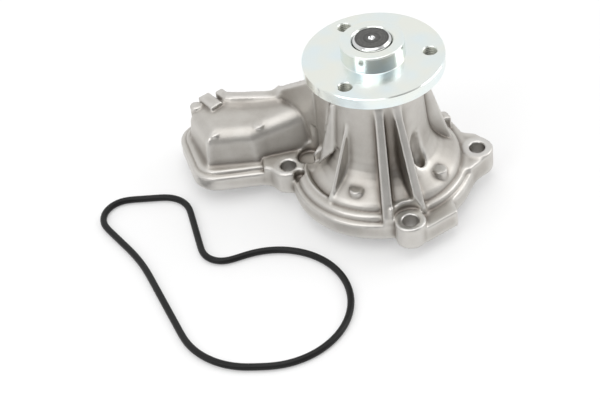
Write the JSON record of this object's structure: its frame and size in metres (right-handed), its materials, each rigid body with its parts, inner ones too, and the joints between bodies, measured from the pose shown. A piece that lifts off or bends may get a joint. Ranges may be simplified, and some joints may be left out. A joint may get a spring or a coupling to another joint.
{
  "type": "engine coolant pump",
  "caption": "Belt-driven engine coolant pump: cast housing with ribs and a side chamber, plated pulley flange on a bearing shaft, seal, impeller, and a loose rubber housing gasket.",
  "frame": {"origin": "on the pump's axis, in the plane of the mounting face, at the centre of the shaft's impeller-side end", "axes": "+Z along the shaft towards the pulley flange; the side chamber points to -X; the long side of the mounting face lies near the X axis"},
  "size_m": [0.1709, 0.1543, 0.0804],
  "materials": {
    "cast_aluminium": "die-cast, satin grey",
    "zinc_steel": "turned steel with bright zinc plating",
    "shaft_steel": "ground steel with a dark end face",
    "bearing_steel": "ground bearing steel",
    "cage_nylon": "natural moulded nylon",
    "rubber": "black moulded rubber with a slight sheen",
    "brass": "pressed brass",
    "carbon": "lapped carbon",
    "ceramic": "lapped off-white ceramic",
    "stamped_steel": "stamped steel"
  },
  "bodies": {
    "pump_body": {"housing": "cast_aluminium", "bearing_outer_ring": "bearing_steel", "bearing_seal_lower": "rubber", "bearing_seal_upper": "rubber", "seal_cup": "brass", "seal_bellows": "rubber", "seal_spring": "bearing_steel"},
    "rotor": {"shaft": "shaft_steel", "pulley_flange": "zinc_steel", "impeller": "stamped_steel", "mating_ring": "ceramic", "mating_ring_boot": "rubber"},
    "carbon_ring": {"seal_carbon_ring": "carbon"},
    "gasket": {"housing_gasket": "rubber"},
    "cage_lower": {"bearing_cage_lower": "cage_nylon", "ball_lower_1": "bearing_steel", "ball_lower_2": "bearing_steel", "ball_lower_3": "bearing_steel", "ball_lower_4": "bearing_steel", "ball_lower_5": "bearing_steel", "ball_lower_6": "bearing_steel", "ball_lower_7": "bearing_steel", "ball_lower_8": "bearing_steel"},
    "cage_upper": {"bearing_cage_upper": "cage_nylon", "ball_upper_1": "bearing_steel", "ball_upper_2": "bearing_steel", "ball_upper_3": "bearing_steel", "ball_upper_4": "bearing_steel", "ball_upper_5": "bearing_steel", "ball_upper_6": "bearing_steel", "ball_upper_7": "bearing_steel", "ball_upper_8": "bearing_steel"}
  },
  "joints": [
    {"name": "shaft_spin", "type": "hinge", "parent": "pump_body", "child": "rotor", "pos_m": [0, 0, 0], "axis": [0, 0, 1], "continuous": true},
    {"name": "carbon_ring_slide", "type": "slide", "parent": "pump_body", "child": "carbon_ring", "axis": [0, 0, 1], "range_m": [0, 0.0008], "deforming": ["seal_spring", "seal_bellows"]},
    {"name": "gasket_lift", "type": "slide", "parent": "pump_body", "child": "gasket", "axis": [0, 0, 1], "range_m": [0, 0.05]},
    {"name": "cage_lower_spin", "type": "hinge", "parent": "pump_body", "child": "cage_lower", "pos_m": [0, 0, 0.0305], "axis": [0, 0, 1], "continuous": true},
    {"name": "cage_upper_spin", "type": "hinge", "parent": "pump_body", "child": "cage_upper", "pos_m": [0, 0, 0.05], "axis": [0, 0, 1], "continuous": true}
  ],
  "couplings": [
    {"joint": "cage_lower_spin", "follows": "shaft_spin", "ratio": 0.37028},
    {"joint": "cage_upper_spin", "follows": "shaft_spin", "ratio": 0.37028}
  ]
}
